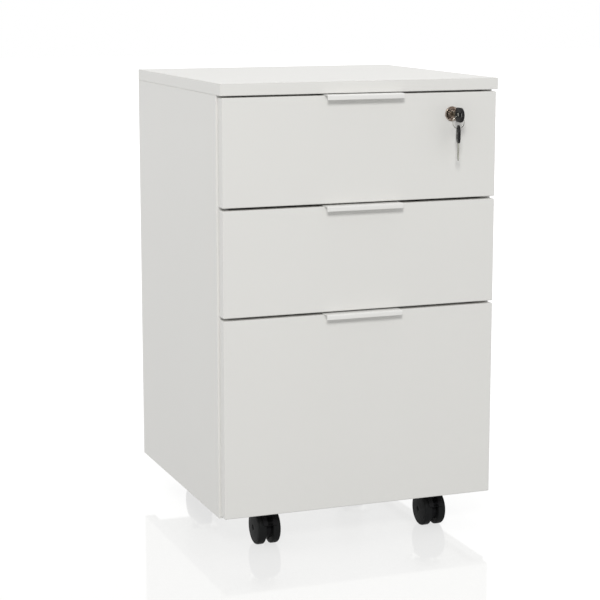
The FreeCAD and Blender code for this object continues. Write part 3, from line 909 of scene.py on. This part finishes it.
def headOutline(inset):
    half = key["headWidth"] / 2 - inset
    length = key["headLength"] - inset
    corner = key["shoulderRound"]
    along = length - key["shoulder"] - corner
    across = half - key["shoulderStep"] - corner
    neck = key["neckWidth"] / 2 - inset
    points = arc((key["headWidth"] / 2, 0.0), half, 90, 270, 36)
    points += arc((along, -across), corner, 270, 325, 6)
    points += [(length, -neck), (length, neck)]
    points += arc((along, across), corner, 35, 90, 6)
    return points


def windowOutline(window, grow=0.0):
    bend = key["windowRound"]
    flat = key["windowWidth"] / 2 + grow - bend
    near = window[0] - grow + bend
    far = window[1] + grow - bend
    points = arc((far, flat), bend, 90, 0, 8) + arc((far, -flat), bend, 0, -90, 8)
    points += arc((near, -flat), bend, 270, 180, 8) + arc((near, flat), bend, 180, 90, 8)
    return points


def bladeOutline():
    # the edge with the cuts is a row of notches, and the tip is pointed
    start = key["headLength"] - key["bladeInHead"]
    length = key["headLength"] + key["bladeLength"]
    half = key["bladeWidth"] / 2
    tip = key["tip"]
    mouth, floor = key["cutHalf"]
    upper = []
    for i, depth in enumerate(key["cuts"]):
        middle = key["headLength"] + key["firstCut"] + i * key["cutPitch"]
        upper += [(middle - mouth, half), (middle - floor, half - depth)]
        upper += [(middle + floor, half - depth), (middle + mouth, half)]
    points = [(start, -half), (length - tip, -half), (length, -half + tip), (length, half - tip)]
    points += [(length - tip, half)] + upper[::-1] + [(start, half)]
    return points


def barOutline(low, high):
    start = key["headLength"] - key["bladeInHead"]
    end = key["headLength"] + key["bladeLength"] - key["barShort"]
    return [(start, low), (end, low), (end, high), (start, high)]


def headBuild(matrix):
    def build(bm):
        holes = [windowOutline(window) for window in key["windows"]]
        plate(bm, [headOutline(0.0)] + holes, key["padThickness"], key["padRound"], matrix)
        holes = [windowOutline(window, key["windowRim"]) for window in key["windows"]]
        middle = [headOutline(key["padInset"])] + holes
        plate(bm, middle, key["headThickness"], key["headRound"], matrix)
    return build


def bladeBuild(matrix):
    # a milled groove runs between the two long bars
    half = key["bladeWidth"] / 2
    backMargin, cutMargin = key["barMargins"]
    bars = (barOutline(-half + backMargin, -key["groove"]), barOutline(key["groove"], half - cutMargin))
    def build(bm):
        plate(bm, [bladeOutline()], key["coreThickness"], key["coreRound"], matrix)
        for bar in bars:
            plate(bm, [bar], key["bladeThickness"], key["bladeRound"], matrix)
    return build


def makeKey(prefix, matrix, body, node):
    head = meshFrom(headBuild(matrix))
    finishPiece(head, prefix + "_head", finishes["key_plastic"], body, [node])
    blade = meshFrom(bladeBuild(matrix))
    finishPiece(blade, prefix + "_blade", finishes["keyBlade"], body, [node])


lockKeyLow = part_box("lock_key")[0]
lockKeyPlace = Matrix.Translation((lockPivot.x, lockKeyLow.y, lockPivot.z))
makeKey(
    "key_in_lock", lockKeyPlace @ Matrix.Rotation(pi / 2, 4, "Z") @ Matrix.Rotation(pi / 2, 4, "X"),
    "lock_core", "lock_key",
)
spareTurn = radians(-17.0)      # how far the hanging key is turned about the vertical
ringPivot = Vector(joints["hanging_key_turn"]["pos_m"])
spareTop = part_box("spare_key")[1].z
sparePlace = Matrix.Translation((ringPivot.x, ringPivot.y, spareTop))
makeKey(
    "spare_key_hung", sparePlace @ Matrix.Rotation(spareTurn, 4, "Z") @ Matrix.Rotation(pi / 2, 4, "Y"),
    "hanging_key", "spare_key",
)

splitRing = {
    "radius": 8.5 * mm,
    "wire": 0.34 * mm,
    "spread": 0.36 * mm,        # from the ring's middle to each turn of wire
    "start": radians(-60.0),
    "turns": 1.9,
    "steps": 110,
    "stepSharpness": 9.0,
}


def makeSplitRing():
    # two turns of thin wire that lie side by side, with a slow step from one to the other
    curve = bpy.data.curves.new("split_ring", "CURVE")
    curve.dimensions = "3D"
    curve.bevel_depth = splitRing["wire"]
    curve.bevel_resolution = 3
    curve.use_fill_caps = True
    spline = curve.splines.new("POLY")
    spline.points.add(splitRing["steps"])
    for i, point in enumerate(spline.points):
        share = i / splitRing["steps"]
        turn = splitRing["start"] + 2 * pi * splitRing["turns"] * share
        step = max(-1.0, min(1.0, (share - 0.5) * splitRing["stepSharpness"]))
        side = splitRing["spread"] * sin(step * pi / 2)
        across = Vector((splitRing["radius"] * cos(turn), side, splitRing["radius"] * sin(turn)))
        point.co = (*(ringPivot + across), 1.0)
        point.radius = 1.0
    holder = bpy.data.objects.new("split_ring", curve)
    mesh = bpy.data.meshes.new_from_object(holder)
    bpy.data.objects.remove(holder)
    bpy.data.curves.remove(curve)
    finishPiece(mesh, "split_ring_wire", finishes["ringWire"], "ring", ["key_ring"], 60.0)


makeSplitRing()
print("keys made")


# casters: a hood with a round middle web, and a pair of domed wheels

caster = {
    "webRadius": 16.5 * mm,
    "webArc": (-1, -208),       # degrees round the axle
    "webHalf": 4.4 * mm,        # half the thickness across the cabinet, as the hood's
    "webRound": 0.5 * mm,
    "hoodHalf": 10.0 * mm,
    "hoodInner": 24.8 * mm,
    "hoodOuter": 26.8 * mm,
    "hoodRound": 0.9 * mm,
    "hoodCorner": 3.0 * mm,
    "crownEnd": 96.0,           # degrees round the axle to where the top turns flat
    "crownLead": 0.05,
    "mouth": 8.0 * mm,
}
wheel = {
    "radius": 24.0 * mm,
    "hubRadius": 3.7 * mm,
    "inner": 5.0 * mm,
    "outer": 17.0 * mm,
    "innerFace": ((0.0, 7.0), (0.8, 7.8), (0.8, 18.6), (0.0, 19.4)),     # depth and radius, in mm
    "innerRound": 1.6 * mm,
    "tread": (2.0 * mm, 4.0 * mm, 6.0 * mm, 8.0 * mm),
    "shoulder": 3.4 * mm,
    "rim": ((1.15, 20.4), (1.5, 20.2), (1.45, 19.7), (0.95, 19.4)),
    "domeRadii": (19.0 * mm, 4.4 * mm),
    "domeSteps": 8,
    "domeHeight": 0.9 * mm,
    "domePower": 2.2,
    "cap": ((0.2, 3.7), (1.0, 3.3), (1.2, 0.0)),
    "capDepth": 3.0 * mm,
}


def wheelProfile():
    # one wheel as (distance from the caster's middle, radius)
    tread = wheel["radius"]
    inner = wheel["inner"]
    outer = wheel["outer"]
    bend = wheel["innerRound"]
    shoulder = wheel["shoulder"]
    dome = wheel["domeHeight"]
    largest, smallest = wheel["domeRadii"]
    profile = [(inner, wheel["hubRadius"])]
    profile += [(inner + depth * mm, radius * mm) for depth, radius in wheel["innerFace"]]
    profile += [(inner + bend - a, tread - bend + b) for a, b in arc((0, 0), bend, 0, 90, 6)]
    profile += [(inner + along, tread) for along in wheel["tread"]]
    shoulderArc = arc((0, 0), shoulder, 88, 12, 9)
    profile += [(outer - dome - shoulder + a, tread - shoulder + b) for a, b in shoulderArc]
    profile += [(outer - depth * mm, radius * mm) for depth, radius in wheel["rim"]]
    for i in range(wheel["domeSteps"] + 1):
        radius = largest + (smallest - largest) * i / wheel["domeSteps"]
        profile.append((outer - dome * (radius / largest) ** wheel["domePower"], radius))
    profile += [(outer - depth * mm, radius * mm) for depth, radius in wheel["cap"]]
    profile += [(outer - wheel["capDepth"], 0.0), (outer - wheel["capDepth"], wheel["hubRadius"])]
    return profile


def makeWheels(centre):
    def build(bm):
        for side in (-1, 1):
            def place(along, across, up):
                return centre + Vector((side * along, across, up))
            lathe(bm, wheelProfile(), 80, place)
    return meshFrom(build)


def mouthAngle(radius):
    # where the hood's mouth meets a circle about the axle, in degrees
    mouth = caster["mouth"]
    return 180 - atan2(mouth, sqrt(radius * radius - mouth * mouth)) * 180 / pi


def hoodOutline(toward, reach, top):
    # outside of the hood from the side, as (y, z) about the axle
    outer = caster["hoodOuter"]
    corner = caster["hoodCorner"]
    points = arc((0.0, 0.0), outer, mouthAngle(outer), caster["crownEnd"], 22)
    points += [(-outer * caster["crownLead"], top), (reach - corner, top)]
    points += arc((reach - corner, top - corner), corner, 90, 0, 6)
    points += [(reach, 0.0)]
    return [(toward * a, b) for a, b in points if b <= top]


def makeHood(centre, toward, reach, top):
    inner = caster["hoodInner"]
    outside = hoodOutline(toward, reach, top)
    shellArc = arc((0.0, 0.0), inner, 0, mouthAngle(inner), 30)
    shell = outside + [(toward * a, b) for a, b in shellArc]
    webArc = arc((0.0, 0.0), caster["webRadius"], *caster["webArc"], 34)
    web = outside + [(toward * a, b) for a, b in webArc]
    turned = Matrix(((0, 0, 1, 0), (1, 0, 0, 0), (0, 1, 0, 0), (0, 0, 0, 1)))
    matrix = Matrix.Translation(centre) @ turned
    def build(bm):
        plate(bm, [shell], 2 * caster["hoodHalf"], caster["hoodRound"], matrix)
        plate(bm, [web], 2 * caster["webHalf"], caster["webRound"], matrix)
    return meshFrom(build)


for name in casterNames:
    hoodLow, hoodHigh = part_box(name + "_caster_hood")
    axle = Vector(joints[name + "_roll"]["pos_m"])
    swivel = Vector(joints[name + "_swivel"]["pos_m"])
    toward = 1 if swivel.y > axle.y else -1
    reach = (hoodHigh.y - axle.y) if toward > 0 else (axle.y - hoodLow.y)
    hood = makeHood(axle, toward, reach, hoodHigh.z - axle.z)
    finishPiece(
        hood, name + "_hood_shell", finishes["caster_plastic"], name + "_caster",
        [name + "_caster_hood"],
    )
    finishPiece(
        makeWheels(axle), name + "_wheel_pair", finishes["wheel_plastic"], name + "_wheels",
        [name + "_caster_wheels"],
    )
print("casters made")


# floor, light and camera

studio = {
    "floorSize": 14.0,
    "floorGlow": 0.69,
    "floorGlowForSurfaces": 0.30,
    "floorBase": color(0.20, 0.20, 0.195),
    "floorRoughness": 0.05,
    "roomForSurfaces": 0.45,
    "roomSeen": 1.0,
}


def makeFloor():
    mesh = meshFrom(
        lambda bm: bmesh.ops.create_grid(bm, x_segments=8, y_segments=8, size=studio["floorSize"])
    )
    floor = bpy.data.objects.new("studio_floor", mesh)
    scene.collection.objects.link(floor)
    settings = {
        "IOR": 1.45,
        "Roughness": studio["floorRoughness"],
        "Base Color": studio["floorBase"],
        "Emission Color": color(1.0, 1.0, 1.0),
    }
    material, tree, shader = newMaterial("paleGlossFloor", settings)[:3]
    rays = addNode(tree, "LightPath").outputs["Is Diffuse Ray"]
    glow = remap(tree, rays, 0.0, 1.0, studio["floorGlow"], studio["floorGlowForSurfaces"])
    tree.links.new(glow, shader.inputs["Emission Strength"])
    mesh.materials.append(material)


def makeWorld():
    # even white room, a little dimmer for what it lights than for what is seen of it
    world = bpy.data.worlds.new("studioRoom")
    scene.world = world
    world.use_nodes = True
    tree = world.node_tree
    tree.nodes.clear()
    rays = addNode(tree, "LightPath").outputs["Is Diffuse Ray"]
    strength = remap(tree, rays, 0.0, 1.0, studio["roomSeen"], studio["roomForSurfaces"])
    background = addNode(tree, "Background", {"Color": color(1.0, 1.0, 1.0), "Strength": strength})
    output = tree.nodes.new("ShaderNodeOutputWorld")
    tree.links.new(background.outputs["Background"], output.inputs["Surface"])


softboxes = {
    "keyLight": {
        "place": (-1.75, -4.35, 3.15), "aim": (0.0, -0.1, 0.35), "size": (1.3, 1.1), "power": 132.0,
    },
    "sideLight": {
        "place": (-3.5, 0.9, 1.4), "aim": (-0.2, 0.0, 0.35), "size": (1.8, 1.8), "power": 16.0,
    },
    "topLight": {
        "place": (0.2, 0.1, 2.6), "aim": (0.0, 0.0, 0.5), "size": (1.6, 1.6), "power": 10.5,
    },
    "fillLight": {
        "place": (3.3, 2.7, 1.5), "aim": (0.1, 0.1, 0.35), "size": (2.2, 2.2), "power": 26.0,
    },
}


def makeLights():
    for name, facts in softboxes.items():
        lamp = bpy.data.lights.new(name, "AREA")
        lamp.shape = "RECTANGLE"
        lamp.size, lamp.size_y = facts["size"]
        lamp.energy = facts["power"]
        lamp.color = (1.0, 0.995, 0.98)
        holder = bpy.data.objects.new(name, lamp)
        holder.location = facts["place"]
        aim = Vector(facts["aim"]) - Vector(facts["place"])
        holder.rotation_euler = aim.to_track_quat("-Z", "Y").to_euler()
        scene.collection.objects.link(holder)


view = {
    "place": (-0.93372, -2.39058, 0.77824),
    "turn": radians(20.8463),
    "tilt": radians(10.2925),
    "lens": 108.15,
    "sensor": 36.0,
}


def makeCamera():
    data = bpy.data.cameras.new("camera")
    data.lens = view["lens"]
    data.sensor_width = view["sensor"]
    data.clip_end = 60.0
    holder = bpy.data.objects.new("camera", data)
    holder.location = view["place"]
    flat = cos(view["tilt"])
    forward = Vector((sin(view["turn"]) * flat, cos(view["turn"]) * flat, -sin(view["tilt"])))
    holder.rotation_euler = forward.to_track_quat("-Z", "Y").to_euler()
    scene.collection.objects.link(holder)
    scene.camera = holder


makeFloor()
makeWorld()
makeLights()
makeCamera()
print("stage made")
